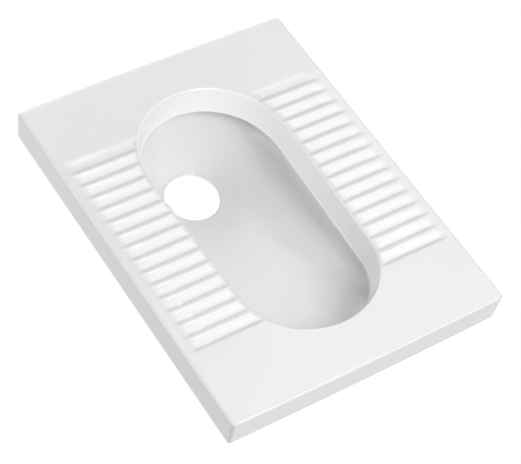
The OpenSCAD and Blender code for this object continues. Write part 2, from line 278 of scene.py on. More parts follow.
FIELD_FRONT = -172 * MM
FIELD_BACK = 178 * MM
SPOKES_A_PITCH = 24
# Spokes of the back half-fan: along the side, round the corner, along the edge, round the notch
BACK_FAN = (10, 12, 10, 40)
FRONT_FAN = (12, 12, 32)
NOTCH_SPAN = 42 * MM
SIDE_CORE = np.array([DECK_W / 2 - CORNER_R, DECK_L / 2 - CORNER_R])
# Zones of a spoke with close rings, at the ribs' two ends and at the deck's edge
INNER_ZONE = RIB_INNER_END
OUTER_ZONE = RIB_OUTER_END + 5 * MM
EDGE_ZONE = 3 * MM
TOP_RINGS = (12, 10, 22, 3)
MOUTH_EDGE_RINGS = 9
DECK_EDGE_RINGS = 12


def fan(counts, y, sign):
    """Core points and normal angles of a fan's spokes, from the side at y to the end's middle."""
    core_x, core_y = SIDE_CORE
    side = [((core_x, v), 0) for v in np.linspace(y, sign * core_y, counts[0], endpoint=False)]
    corner = [((core_x, sign * core_y), sign * a)
              for a in np.linspace(0, 90, counts[1], endpoint=False)]
    reach = NOTCH_SPAN if len(counts) == 4 else 0
    end = [((v, sign * core_y), sign * 90)
           for v in np.linspace(core_x, reach, counts[2], endpoint=False)]
    if len(counts) == 4:
        end += [((v, sign * core_y), sign * 90)
                for v in np.linspace(reach, 0, counts[3], endpoint=False)]
    return side + corner + end + [((0, sign * core_y), sign * 90)]


def spread(total, *pieces):
    """The ys of a half-outline's tip: evenly spaced points over one or two arcs."""
    lengths = [radius * abs(end - start) for _, radius, start, end in pieces]
    ys = []
    for k, (centre, radius, start, end) in enumerate(pieces):
        left = total - len(ys)
        share = left if k == len(pieces) - 1 else round(total * lengths[k] / sum(lengths))
        ys += arc_ys(centre, radius, start, end, share)
    return ys


def deck_spokes():
    """Each spoke runs from a foot on the mouth's outline to a core point of the deck's edge."""
    count = round((FIELD_BACK - FIELD_FRONT) / RIB_PITCH * SPOKES_A_PITCH)
    field = np.linspace(FIELD_FRONT, FIELD_BACK, count, endpoint=False)
    back_turn, front_turn = mouth_foot(FIELD_BACK)[1], mouth_foot(FIELD_FRONT)[1]
    back = spread(sum(BACK_FAN), (BACK_TIP_C, BACK_TIP_R, back_turn, 90)) + [MOUTH_L / 2]
    front = spread(sum(FRONT_FAN), (FRONT_C, FRONT_R, front_turn, FRONT_JOIN),
                   (FRONT_TIP_C, FRONT_TIP_R, FRONT_JOIN, -90)) + [-MOUTH_L / 2]
    ys = front[:0:-1] + list(field) + back
    cores = (fan(FRONT_FAN, FIELD_FRONT, -1)[:0:-1]
             + [((SIDE_CORE[0], y), 0) for y in field] + fan(BACK_FAN, FIELD_BACK, 1))
    feet, normals = mouth_feet(ys)
    core, turns = zip(*cores)
    core, turns = mirrored(np.array(core), np.array(turns))
    return ys, feet, normals, core, polar(turns, 1)


def bowed(rings):
    """The deck's ends bow out: their corners stay back by END_BOW, as fired china's do."""
    share = smooth_step((np.abs(rings[..., 1]) - DECK_L / 2 + BOW_REACH) / BOW_REACH)
    back = END_BOW * (rings[..., 0] / (DECK_W / 2)) ** 2 * share
    rings[..., 1] -= np.sign(rings[..., 1]) * back
    return rings


def mouth_face(z):
    """Offset at height z of the mouth's face, which leans inwards on its way down."""
    return (z - MOUTH_EDGE_Z) * CURTAIN_LEAN / (MOUTH_EDGE_Z - CURTAIN_FOOT)


def top_shares(feet, core, normals, field):
    """Where the rings cross each spoke of the top, close together at the ribs' round ends."""
    start = feet + normals * MOUTH_EDGE_R
    length = np.linalg.norm(core - start, axis=1)
    keys = np.stack([0 * length, INNER_ZONE / length, 1 - OUTER_ZONE / length,
                     1 - EDGE_ZONE / length, 1 + 0 * length])
    for k in range(len(keys)):
        keys[k] = np.where(field, keys[k], np.interp(
            np.arange(len(length)), np.flatnonzero(field), keys[k][field]))
    shares = [keys[0]]
    for low, high, count in zip(keys, keys[1:], TOP_RINGS):
        shares += [low + (high - low) * (k + 1) / count for k in range(count)]
    return start, shares


def skirt_foot(core, normals):
    """The skirt's lower edge: its x and height, and the way out of the china in that plane.

    It's level but at the back, where it goes up and over the notch for the flush pipe."""
    x, z = core[:, 0].copy(), np.full(len(core), SKIRT_BASE)
    out = np.tile([0.0, -1.0], (len(core), 1))
    flat = NOTCH_SPAN - NOTCH_R - NOTCH_CORNER_R
    lengths = np.cumsum([0, flat, NOTCH_CORNER_R * math.pi / 2,
                         INLET_Z - SKIRT_BASE - NOTCH_CORNER_R, NOTCH_R * math.pi / 2])
    corner = np.array([NOTCH_R + NOTCH_CORNER_R, SKIRT_BASE + NOTCH_CORNER_R])
    for k in np.flatnonzero((normals[:, 1] > 0.999) & (np.abs(core[:, 0]) <= NOTCH_SPAN)):
        side = np.sign(core[k, 0]) or 1
        run = (1 - abs(core[k, 0]) / NOTCH_SPAN) * lengths[-1]
        if run <= lengths[1]:
            place, way = np.array([NOTCH_SPAN - run, SKIRT_BASE]), np.array([0, -1])
        elif run <= lengths[2]:
            way = polar(-90 - 90 * (run - lengths[1]) / (lengths[2] - lengths[1]), 1)
            place = corner + way * NOTCH_CORNER_R
        elif run <= lengths[3]:
            place, way = np.array([NOTCH_R, corner[1] + run - lengths[2]]), np.array([-1, 0])
        else:
            way = -polar(90 * (run - lengths[3]) / (lengths[4] - lengths[3]), 1)
            place = np.array([0, INLET_Z]) - way * NOTCH_R
        x[k], z[k], out[k] = side * place[0], place[1], (side * way[0], way[1])
    return x, z, out


def deck_rings():
    """The deck's skin as rings round the mouth, from the curtain's seam out and back under."""
    ys, feet, normals, core, ways = deck_spokes()
    field = (np.abs(ways[:, 0]) > 0.999) & (core[:, 1] >= FIELD_FRONT) & (core[:, 1] <= FIELD_BACK)
    rings = []
    for z in np.linspace(DECK_UNDER, MOUTH_EDGE_Z, 5)[:-1]:
        rings.append(lift(feet + normals * mouth_face(z), z))
    # Over the mouth's rounded edge, out along the top and round the deck's edge
    mouth_edge = arc((MOUTH_EDGE_R, MOUTH_EDGE_Z), MOUTH_EDGE_R, 180, 90, MOUTH_EDGE_RINGS)
    for across, z in mouth_edge[:-1]:
        plan = feet + normals * across
        rings.append(lift(plan, z + rib_height(plan)))
    edge_r = EDGE_R + (BACK_EDGE_R - EDGE_R) * (core[:, 1] / DECK_L + 0.5)
    edge = core + ways * (CORNER_R - edge_r)[:, None]
    start, shares = top_shares(feet, edge, normals, field)
    for share in shares:
        plan = start + (edge - start) * share[:, None]
        rings.append(lift(plan, DECK_TOP + rib_height(plan)))
    for turn in np.radians(np.linspace(90, 0, DECK_EDGE_RINGS + 1))[1:]:
        across = CORNER_R - edge_r * (1 - math.cos(turn))
        z = DECK_TOP - edge_r * (1 - math.sin(turn))
        rings.append(lift(core + ways * across[:, None], z))
    # Down the skirt to its lower edge
    foot_x, foot_z, out = skirt_foot(core, ways)
    upper_z = DECK_TOP - edge_r
    along_x = np.abs(ways[:, 1]) > 0.999

    def skirt_point(x, z, inwards=0.0):
        drop = SKIRT_DRAFT * (upper_z - np.minimum(z, upper_z)) / (upper_z - SKIRT_BASE)
        plan = core + ways * (CORNER_R - drop - inwards)[:, None]
        plan[along_x, 0] = x[along_x]
        return lift(plan, z)

    low_x = foot_x - SKIRT_EDGE_R * out[:, 0]
    low_z = foot_z - SKIRT_EDGE_R * out[:, 1]
    for share in (0.12, 0.3, 0.5, 0.7, 0.88):
        rings.append(skirt_point(core[:, 0] + (low_x - core[:, 0]) * share,
                                 upper_z + (low_z - upper_z) * share))
    for turn in np.radians(np.linspace(0, 90, 6)):
        back = SKIRT_EDGE_R * (1 - math.sin(turn))
        inwards = SKIRT_EDGE_R * (1 - math.cos(turn))
        rings.append(skirt_point(foot_x - back * out[:, 0], foot_z - back * out[:, 1], inwards))
    # Up inside the skirt, round the cove and back under the deck to the seam with the curtain
    hollow = SIDE_CORE - np.array([1, 1]) * (SKIRT_T + SKIRT_DRAFT + COVE_R - CORNER_R)
    inner = core * hollow / SIDE_CORE
    near_notch = along_x & (core[:, 1] > 0)
    reach = np.abs(core[:, 0])
    inner[near_notch, 0] = np.sign(core[near_notch, 0]) * np.interp(
        reach[near_notch], [0, NOTCH_SPAN, SIDE_CORE[0]], [0, NOTCH_SPAN, hollow[0]])
    cove_z = DECK_UNDER - COVE_R
    for share in (0, 0.5):
        plan = inner + ways * COVE_R
        plan[near_notch, 0] = foot_x[near_notch]
        rings.append(lift(plan, foot_z + (np.maximum(cove_z, foot_z) - foot_z) * share))
    for turn in np.linspace(0, 90, 7):
        plan = inner + ways * COVE_R * math.cos(math.radians(turn))
        share = turn / 90
        plan[near_notch, 0] = (foot_x * (1 - share) + inner[:, 0] * share)[near_notch]
        z = cove_z + COVE_R * math.sin(math.radians(turn))
        rings.append(lift(plan, np.maximum(z, foot_z)))
    seam = feet + normals * mouth_face(DECK_UNDER)
    for share in (0.35, 0.7):
        rings.append(lift(inner + (seam - inner) * share, DECK_UNDER))
    return ys, bowed(np.array(rings))


def make_deck():
    ys, rings = deck_rings()
    return ys, ring_skin("deck_shell", rings)


# ---- Flushing rim and bowl ----

def make_rim(ys):
    """The leaning curtain with its drip edge, and the hollow channel behind it."""
    feet, normals = mouth_feet(ys)
    foot_r = (CHANNEL_IN + CURTAIN_LEAN) / 2
    face = [(mouth_face(z), z) for z in np.linspace(DECK_UNDER, CURTAIN_FOOT + foot_r, 8)]
    section = np.vstack([
        face,
        arc((CHANNEL_IN - foot_r, CURTAIN_FOOT + foot_r), foot_r, 190, 335, 12),
        [(CHANNEL_IN + 0.4 * MM, CHANNEL_UNDER), (RIM_OUT - RIM_EDGE_R - MM, CHANNEL_UNDER)],
        arc((RIM_OUT - RIM_EDGE_R, CHANNEL_UNDER + RIM_EDGE_R), RIM_EDGE_R, -90, 0, 5),
        [(RIM_OUT, DECK_UNDER), (CHANNEL_OUT, DECK_UNDER)],
        arc((CHANNEL_OUT - CHANNEL_BEND_R, CHANNEL_FLOOR + CHANNEL_BEND_R),
            CHANNEL_BEND_R, 0, -90, 6),
        [(mouth_face(CHANNEL_FLOOR) + CURTAIN_T, CHANNEL_FLOOR),
         (mouth_face(DECK_UNDER) + CURTAIN_T, DECK_UNDER)],
    ])
    return ring_skin("rim_channel", [lift(feet + normals * across, z) for across, z in section])


def trough_share(plan):
    """How far plan points lie from the trough's middle line, 0, towards its rim, 1."""
    x, y = plan[:, 0], plan[:, 1]
    front, back = FRONT_TIP_C[1], BACK_TIP_C[1]
    along = np.clip((y - front) / (back - front), 0, 1)
    half_w = BOWL_IN + FRONT_HALF_W + (BACK_HALF_W - FRONT_HALF_W) * along
    beyond = np.where(y > back, (y - back) / (BACK_TIP_R + BOWL_IN),
                      np.maximum(0, front - y) / (FRONT_TIP_R + BOWL_IN))
    return np.hypot(x / half_w, beyond)


def bowl_ring(rim, share, radius, drop):
    """A ring of the bowl's surface, a share of the way from its rim to the outlet."""
    centre = np.array([0, OUTLET_Y])
    away = rim - centre
    length = np.linalg.norm(away, axis=1)
    left = (length - radius) * (1 - share)
    plan = centre + away / length[:, None] * (radius + left)[:, None]
    floor_z = OUTLET_Z - drop + FLOOR_FALL * left
    inwards = np.maximum(0, 1 - trough_share(plan) / trough_share(rim))
    wall = (1 - (1 - inwards) ** WALL_CURVE) ** (1 / WALL_CURVE)
    depth = wall + (1 - wall) * share ** OUTLET_DIP
    return lift(plan, CHANNEL_UNDER - (CHANNEL_UNDER - floor_z) * depth)


BOWL_SPOKES = 240
BOWL_RINGS = 72


def make_bowl(ys):
    """The trough: its inside down to the outlet's rolled edge, and its outside back up."""
    feet, normals = mouth_feet(ys)
    inner_rim = feet + normals * BOWL_IN
    outer_rim = inner_rim + normals * BOWL_T
    shares = np.linspace(0, 1, BOWL_RINGS) ** 2
    rings = [bowl_ring(inner_rim, share, OUTLET_R + OUTLET_EDGE_R, 0) for share in shares]
    # The outlet's rolled edge, and the short bore through the china
    away = inner_rim - (0, OUTLET_Y)
    away = away / np.linalg.norm(away, axis=1)[:, None]
    for turn in np.radians(np.linspace(15, 90, 6)):
        radius = OUTLET_R + OUTLET_EDGE_R * (1 - math.sin(turn))
        drop = OUTLET_EDGE_R * (1 - math.cos(turn))
        rings.append(lift(away * radius + (0, OUTLET_Y), OUTLET_Z - drop))
    rings.append(lift(away * OUTLET_R + (0, OUTLET_Y), COLLAR_TOP))
    rings += [bowl_ring(outer_rim, share, COLLAR_R, BOWL_T) for share in shares[::-2]]
    return ring_skin("bowl_trough", rings)


def bowl_ys(count):
    """Evenly spaced ys of the outline's right half, from the front tip to the back tip."""
    start, end = FRONT_C + polar(SIDE_A, FRONT_R), BACK_C + polar(SIDE_A, BACK_R)
    arcs = (
        (FRONT_TIP_C, FRONT_TIP_R, -90, FRONT_JOIN), (FRONT_C, FRONT_R, FRONT_JOIN, SIDE_A),
        (BACK_C, BACK_R, SIDE_A, BACK_JOIN), (BACK_TIP_C, BACK_TIP_R, BACK_JOIN, 90))
    bends = sum(radius * math.radians(high - low) for _, radius, low, high in arcs)
    step = (bends + np.linalg.norm(end - start)) / count
    ys = []
    for k, (centre, radius, low, high) in enumerate(arcs):
        ys += arc_ys(centre, radius, low, high, round(radius * math.radians(high - low) / step))
        if k == 1:
            straight = round((end[1] - start[1]) / step)
            ys += list(np.linspace(start[1], end[1], straight, endpoint=False))
    return ys + [MOUTH_L / 2]


# ---- Finishes ----

def socket(group, name, kind, value=None, way="INPUT"):
    made = group.interface.new_socket(name=name, in_out=way, socket_type="NodeSocket" + kind)
    if value is not None:
        made.default_value = value


class Nodes:
    """Short ways to add nodes to one tree and to join them."""

    def __init__(self, tree):
        self.tree = tree

    def add(self, kind, links=None, **settings):
        node = self.tree.nodes.new("ShaderNode" + kind)
        for name, value in settings.items():
            setattr(node, name, value)
        for key, value in (links or {}).items():
            if isinstance(value, bpy.types.NodeSocket):
                self.tree.links.new(value, node.inputs[key])
            else:
                node.inputs[key].default_value = value
        return node

    def math(self, operation, first, second=0.0, clamp=False):
        node = self.add("Math", {0: first, 1: second}, operation=operation, use_clamp=clamp)
        return node.outputs[0]

    def times(self, first, *others):
        for other in others:
            first = self.math("MULTIPLY", first, other)
        return first

    def blend(self, share, low, high):
        node = self.add("Mix", data_type="RGBA")
        for key, value in ((0, share), (6, low), (7, high)):
            if isinstance(value, bpy.types.NodeSocket):
                self.tree.links.new(value, node.inputs[key])
            else:
                node.inputs[key].default_value = value
        return node.outputs[2]

    def ramp(self, value, low, high):
        """0 below low, 1 above high, smooth between."""
        node = self.add("MapRange", {"Value": value, "From Min": low, "From Max": high},
                        interpolation_type="SMOOTHSTEP")
        return node.outputs[0]


def new_group(name, inputs, outputs):
    group = bpy.data.node_groups.new(name, "ShaderNodeTree")
    for title, kind, value in inputs:
        socket(group, title, kind, value)
    for title, kind in outputs:
        socket(group, title, kind, way="OUTPUT")
    nodes = Nodes(group)
    return group, nodes, group.nodes.new("NodeGroupInput"), group.nodes.new("NodeGroupOutput")


def glaze_ripple_group():
    """The slow waves and the fine orange peel of a fired glaze, as a height."""
    group, n, given, out = new_group(
        "glaze_ripple",
        [("Position", "Vector", None), ("Wave", "Float", 1.0), ("Peel", "Float", 0.1)],
        [("Height", "Float")])
    wave = n.add("TexNoise", {"Vector": given.outputs["Position"], "Scale": 22.0, "Detail": 1.5})
    peel = n.add("TexNoise", {"Vector": given.outputs["Position"], "Scale": 420.0, "Detail": 1.0})
    slow = n.math("MULTIPLY", wave.outputs["Fac"], given.outputs["Wave"])
    fine = n.math("MULTIPLY", peel.outputs["Fac"], given.outputs["Peel"])
    group.links.new(n.math("ADD", slow, fine), out.inputs["Height"])
    return group


def glaze_tone_group():
    """White that turns greyer where shade is painted, and a trace greyer in a random mottle, with
    rare faint pinholes.
    """
    group, n, given, out = new_group(
        "glaze_tone",
        [("Position", "Vector", None), ("Shade Share", "Float", 0.0),
         ("White Color", "Color", (0.9, 0.9, 0.9, 1)), ("Shade And Mottle Color", "Color", (0.8, 0.8, 0.8, 1))],
        [("Color", "Color"), ("Roughness", "Float")])
    cloud = n.add("TexNoise", {"Vector": given.outputs["Position"], "Scale": 9.0, "Detail": 3.0})
    drift = n.math("MULTIPLY", n.math("SUBTRACT", cloud.outputs["Fac"], 0.5), 0.35)
    share = n.math("ADD", given.outputs["Shade Share"], drift, clamp=True)
    glaze = n.blend(share, given.outputs["White Color"], given.outputs["Shade And Mottle Color"])
    cells = n.add("TexVoronoi", {"Vector": given.outputs["Position"], "Scale": 60.0})
    hole = n.math("SUBTRACT", 1.0, n.ramp(cells.outputs["Distance"], 0.02, 0.045))
    patches = n.add("TexNoise", {"Vector": given.outputs["Position"], "Scale": 14.0})
    rare = n.ramp(patches.outputs["Fac"], 0.62, 0.66)
    dark = n.times(hole, rare, 0.25)
    group.links.new(n.blend(dark, glaze, PINHOLE_BROWN), out.inputs["Color"])
    gloss = n.math("ADD", n.math("MULTIPLY", cloud.outputs["Fac"], 0.05), 0.14)
    group.links.new(n.math("ADD", gloss, n.math("MULTIPLY", dark, 0.5)), out.inputs["Roughness"])
    return group


def glaze_line_group():
    """1 where the china is bare, below a wavering line where the glaze was wiped off."""
    group, n, given, out = new_group(
        "glaze_line", [("Position", "Vector", None), ("Line", "Float", 0.0)], [("Bare", "Float")])
    height = n.add("SeparateXYZ", {0: given.outputs["Position"]}).outputs["Z"]
    waver = n.add("TexNoise", {"Vector": given.outputs["Position"], "Scale": 45.0, "Detail": 2.0})
    wander = n.math("MULTIPLY", n.math("SUBTRACT", waver.outputs["Fac"], 0.5), 1.6 * MM)
    moved = n.math("ADD", height, wander)
    above = n.math("SUBTRACT", moved, given.outputs["Line"])
    group.links.new(n.math("SUBTRACT", 1.0, n.ramp(above, -0.2 * MM, 0.3 * MM)), out.inputs["Bare"])
    return group


def rib_groove_group():
    """1 in the narrow grooves at the front of the foot ribs, and 1 in the faint furrow behind each
    crest: the places where shade is painted."""
    group, n, given, out = new_group(
        "rib_groove",
        [("Position", "Vector", None), ("Front Width", "Float", 3 * MM),
         ("Back Width", "Float", 4.6 * MM), ("Furrow Width", "Float", FURROW_HALF_W)],
        [("Groove Shade", "Float"), ("Furrow", "Float")])
    axes = n.add("SeparateXYZ", {0: given.outputs["Position"]})
    front = RIB_FRONT_Y - GROOVE_BEFORE_CREST
    turns = n.math("MULTIPLY", n.math("SUBTRACT", axes.outputs["Y"], front), 1 / RIB_PITCH)
    nearest = n.math("MINIMUM", n.math("MAXIMUM", n.math("ROUND", turns), 0.0), RIB_COUNT - 1.0)
    away = n.math("MULTIPLY", n.math("SUBTRACT", turns, nearest), RIB_PITCH)
    ahead = n.math("DIVIDE", n.math("MULTIPLY", away, -1.0), given.outputs["Front Width"])
    behind = n.math("DIVIDE", away, given.outputs["Back Width"])
    across = n.ramp(n.math("MAXIMUM", ahead, behind), 1.0, 0.0)
    along = n.ramp(n.math("ABSOLUTE", axes.outputs["X"]), RIB_END_X + 2 * MM, RIB_END_X - 15 * MM)
    above = n.ramp(axes.outputs["Z"], DECK_TOP - 1.2 * MM, DECK_TOP - 0.05 * MM)
    group.links.new(n.times(across, along, above), out.inputs["Groove Shade"])
    middle = GROOVE_BEFORE_CREST + FURROW_BEHIND_CREST - RIB_PITCH
    off_middle = n.math("ABSOLUTE", n.math("SUBTRACT", away, middle))
    furrow = n.ramp(n.math("DIVIDE", off_middle, given.outputs["Furrow Width"]), 1.0, 0.0)
    group.links.new(n.math("MULTIPLY", furrow, along), out.inputs["Furrow"])
    return group


def fresh_material(name):
    material = bpy.data.materials.new(name)
    material.use_nodes = True
    tree = material.node_tree
    tree.nodes.clear()
    nodes = Nodes(tree)
    position = nodes.add("TexCoord").outputs["Object"]
    shader = nodes.add("BsdfPrincipled")
    nodes.add("OutputMaterial", {"Surface": shader.outputs[0]})
    return material, nodes, position, shader


def place_group(nodes, group, links):
    node = nodes.add("Group")
    node.node_tree = group
    for key, value in links.items():
        if isinstance(value, bpy.types.NodeSocket):
            nodes.tree.links.new(value, node.inputs[key])
        else:
            node.inputs[key].default_value = value
    return node


def bump(nodes, height, distance, shader, strength=1.0):
    node = nodes.add("Bump", {"Height": height, "Strength": strength, "Distance": distance})
    nodes.tree.links.new(node.outputs[0], shader.inputs["Normal"])


GROUPS = {}

# The glaze's tones
GLAZE_WHITE = (0.75, 0.75, 0.748, 1)
# Painted light: the curtain, the deck's mouth edge and the bowl's upper walls are lighter than the
# deck's glaze, less so towards the mouth's front
CURTAIN_LIT_WHITE = (0.97, 0.97, 0.968, 1)
CURTAIN_FRONT_LIT_WHITE = (0.87, 0.87, 0.868, 1)
BOWL_WHITE = (0.74, 0.74, 0.738, 1)
# Painted light on the middle of the bowl floor's front
BOWL_FLOOR_LIT_WHITE = (0.84, 0.84, 0.838, 1)
# Painted highlight on the rib crests
CREST_HIGHLIGHT_WHITE = (0.876, 0.876, 0.874, 1)
# Painted highlight along the skirt's front top edge
EDGE_HIGHLIGHT_WHITE = (0.91, 0.91, 0.908, 1)
# Painted shade in the rib grooves and furrows, down the skirt's corners and at the drip edge; the
# same grey also gives the glaze its faint random mottle
SHADE_AND_MOTTLE_GREY = (0.62, 0.62, 0.62, 1)
PINHOLE_BROWN = (0.5, 0.48, 0.45, 1)
BARE_CHINA = (0.78, 0.75, 0.70, 1)
BARE_ROUGHNESS = 0.75
RUBBER_BLACK = (0.022, 0.022, 0.023, 1)
TALC_GREY = (0.11, 0.11, 0.105, 1)

# Where each mask of a tone is 0 and where it is 1. X is taken without its sign, and so is
# Y in the names that end in AWAY.
MOUTH_FRONT_Y = (-20 * MM, -140 * MM)
MOUTH_X = (160 * MM, 150 * MM)
MOUTH_AWAY = (245 * MM, 235 * MM)
# Painted highlight on the deck round the mouth's rounded edge, most at the back
MOUTH_EDGE_DOWN_Z = (DECK_TOP - 0.4 * MM, DECK_TOP - 3 * MM)
MOUTH_BACK_Y = (120 * MM, 160 * MM)
MOUTH_BACK_Z = (DECK_TOP, DECK_TOP - 0.7 * MM)
# Painted shade on the curtain's drip edge, which dulls its highlight
DRIP_Z = (CURTAIN_FOOT + 5 * MM, CURTAIN_FOOT + 2 * MM)
DRIP_SHADE = 0.4
# Painted light high on the bowl's side walls
WALL_Z = (114 * MM, 131 * MM)
WALL_AWAY = (165 * MM, 135 * MM)
# Painted light on the middle of the bowl floor's front
BOWL_FRONT_Y = (-70 * MM, -150 * MM)
BOWL_MIDDLE_X = (55 * MM, 25 * MM)
# Painted highlight on the rib crests, a weaker share on the rear rib
CREST_Z = (DECK_TOP + 0.1 * MM, DECK_TOP + 1.5 * MM)
REAR_RIB_Y = (RIB_YS[-1] - 5 * MM, RIB_YS[-1] - 9 * MM)
REAR_RIB_SHARE = 0.35
# Painted shade along each rib's furrow
FURROW_SHADE = 0.24
# Painted shade down the skirt's vertical corners
CORNER_X = (208 * MM, 211 * MM)
CORNER_AWAY = (272 * MM, 276 * MM)
CORNER_Z = (DECK_TOP - 2 * MM, DECK_TOP - 5 * MM)
# Painted highlight along the skirt's front top edge
FRONT_EDGE_X = (211 * MM, 203 * MM)
FRONT_EDGE_Y = (-272 * MM, -275 * MM)
FRONT_EDGE_LOW_Z = (DECK_TOP - 2.8 * MM, DECK_TOP - 1.2 * MM)
FRONT_EDGE_HIGH_Z = (DECK_TOP - 0.05 * MM, DECK_TOP - 0.4 * MM)


def deck_tones(nodes, position, axes, lit_mouth_white):
    """The deck's white, and where shade is painted on it.

    Shade is painted in the ribs' grooves and furrows and down the skirt's corners, and highlights
    are painted as whiter glaze on the crests, along the skirt's front top edge and round the mouth."""
    x, away = (nodes.math("ABSOLUTE", axes.outputs[axis]) for axis in "XY")
    y, z = axes.outputs["Y"], axes.outputs["Z"]
    grooves = place_group(nodes, GROUPS["groove"], {"Position": position})
    crest = nodes.ramp(z, *CREST_Z)
    # Painted shade along each rib's furrow
    furrow = nodes.times(grooves.outputs["Furrow"], crest, FURROW_SHADE)
    # Painted shade down the skirt's vertical corners
    corner = nodes.times(
        nodes.ramp(x, *CORNER_X), nodes.ramp(away, *CORNER_AWAY), nodes.ramp(z, *CORNER_Z))
    # Painted shade: rib grooves, furrows and skirt corners
    painted_shade = nodes.math("MAXIMUM", grooves.outputs["Groove Shade"], furrow)
    painted_shade = nodes.math("MAXIMUM", painted_shade, corner)
    # Painted highlight: the crests are whiter, less so on the rear rib
    ahead = nodes.math("MAXIMUM", nodes.ramp(y, *REAR_RIB_Y), REAR_RIB_SHARE)
    white = nodes.blend(nodes.times(crest, ahead), GLAZE_WHITE, CREST_HIGHLIGHT_WHITE)
    # Painted highlight along the skirt's front top edge
    front_edge = nodes.times(
        nodes.ramp(z, *FRONT_EDGE_LOW_Z), nodes.ramp(z, *FRONT_EDGE_HIGH_Z),
        nodes.ramp(y, *FRONT_EDGE_Y), nodes.ramp(x, *FRONT_EDGE_X))
    white = nodes.blend(front_edge, white, EDGE_HIGHLIGHT_WHITE)
    # Painted highlight round the mouth's edge, in the curtain's lighter white
    back_edge = nodes.times(nodes.ramp(z, *MOUTH_BACK_Z), nodes.ramp(y, *MOUTH_BACK_Y))
    below = nodes.math("MAXIMUM", nodes.ramp(z, *MOUTH_EDGE_DOWN_Z), back_edge)
    inside = nodes.times(nodes.ramp(x, *MOUTH_X), nodes.ramp(away, *MOUTH_AWAY), below)
    return nodes.blend(inside, white, lit_mouth_white), painted_shade


def rim_tones(nodes, position, axes, lit_mouth_white):
    """The curtain's white, lighter than the deck's glaze as painted light, and painted shade at the
    drip edge.
    """
    # Painted shade on the drip edge
    return lit_mouth_white, nodes.times(nodes.ramp(axes.outputs["Z"], *DRIP_Z), DRIP_SHADE)


def bowl_tones(nodes, position, axes, lit_mouth_white):
    """The bowl's white, with painted light: whiter at the front of its floor and high on its side
    walls.
    """
    x, away = (nodes.math("ABSOLUTE", axes.outputs[axis]) for axis in "XY")
    floor = nodes.times(
        nodes.ramp(axes.outputs["Y"], *BOWL_FRONT_Y), nodes.ramp(x, *BOWL_MIDDLE_X))
    walls = nodes.times(nodes.ramp(axes.outputs["Z"], *WALL_Z), nodes.ramp(away, *WALL_AWAY))
    white = nodes.blend(floor, BOWL_WHITE, BOWL_FLOOR_LIT_WHITE)
    return nodes.blend(walls, white, lit_mouth_white), 0.0


def white_glaze(name, bare_line, tones):
    """Glossy white glaze over white china, wiped off below bare_line."""
    material, nodes, position, shader = fresh_material(name)
    axes = nodes.add("SeparateXYZ", {0: position})
    # Painted light: the curtain's lighter white, less light towards the mouth's front
    mouth_front = nodes.ramp(axes.outputs["Y"], *MOUTH_FRONT_Y)
    lit_mouth_white = nodes.blend(mouth_front, CURTAIN_LIT_WHITE, CURTAIN_FRONT_LIT_WHITE)
    white, painted_shade = tones(nodes, position, axes, lit_mouth_white)
    # Painted shade goes in as the grey share; the white carries painted light and highlights
    tone = place_group(nodes, GROUPS["tone"], {
        "Position": position, "Shade Share": painted_shade, "White Color": white, "Shade And Mottle Color": SHADE_AND_MOTTLE_GREY})
    line = place_group(nodes, GROUPS["line"], {"Position": position, "Line": bare_line})
    bare = line.outputs["Bare"]
    colour = nodes.blend(bare, tone.outputs["Color"], BARE_CHINA)
    nodes.tree.links.new(colour, shader.inputs["Base Color"])
    rough = nodes.add("Mix", {0: bare, 2: tone.outputs["Roughness"], 3: BARE_ROUGHNESS},
                      data_type="FLOAT")
    nodes.tree.links.new(rough.outputs[0], shader.inputs["Roughness"])
    ripple = place_group(nodes, GROUPS["ripple"], {"Position": position, "Peel": 0.06})
    bump(nodes, ripple.outputs["Height"], 0.6 * MM, shader)
    shader.inputs["IOR"].default_value = 1.52
    return material


def black_rubber():
    """Moulded rubber: a matt skin, fine grain and a dusting of talc."""
    material, nodes, position, shader = fresh_material("seal_rubber")
    dust = nodes.add("TexNoise", {"Vector": position, "Scale": 70.0, "Detail": 5.0})
    share = nodes.math("MULTIPLY", nodes.ramp(dust.outputs["Fac"], 0.5, 0.8), 0.35)
    nodes.tree.links.new(nodes.blend(share, RUBBER_BLACK, TALC_GREY), shader.inputs["Base Color"])
    rough = nodes.math("ADD", nodes.math("MULTIPLY", dust.outputs["Fac"], 0.25), 0.45)
    nodes.tree.links.new(rough, shader.inputs["Roughness"])
    grain = nodes.add("TexNoise", {"Vector": position, "Scale": 1500.0, "Detail": 2.0})
    bump(nodes, grain.outputs["Fac"], 0.1 * MM, shader, 0.6)
    return material


def paint(piece, material):
    piece.data.materials.clear()
    piece.data.materials.append(material)


# ---- Studio ----

FLOOR_REACH = 30


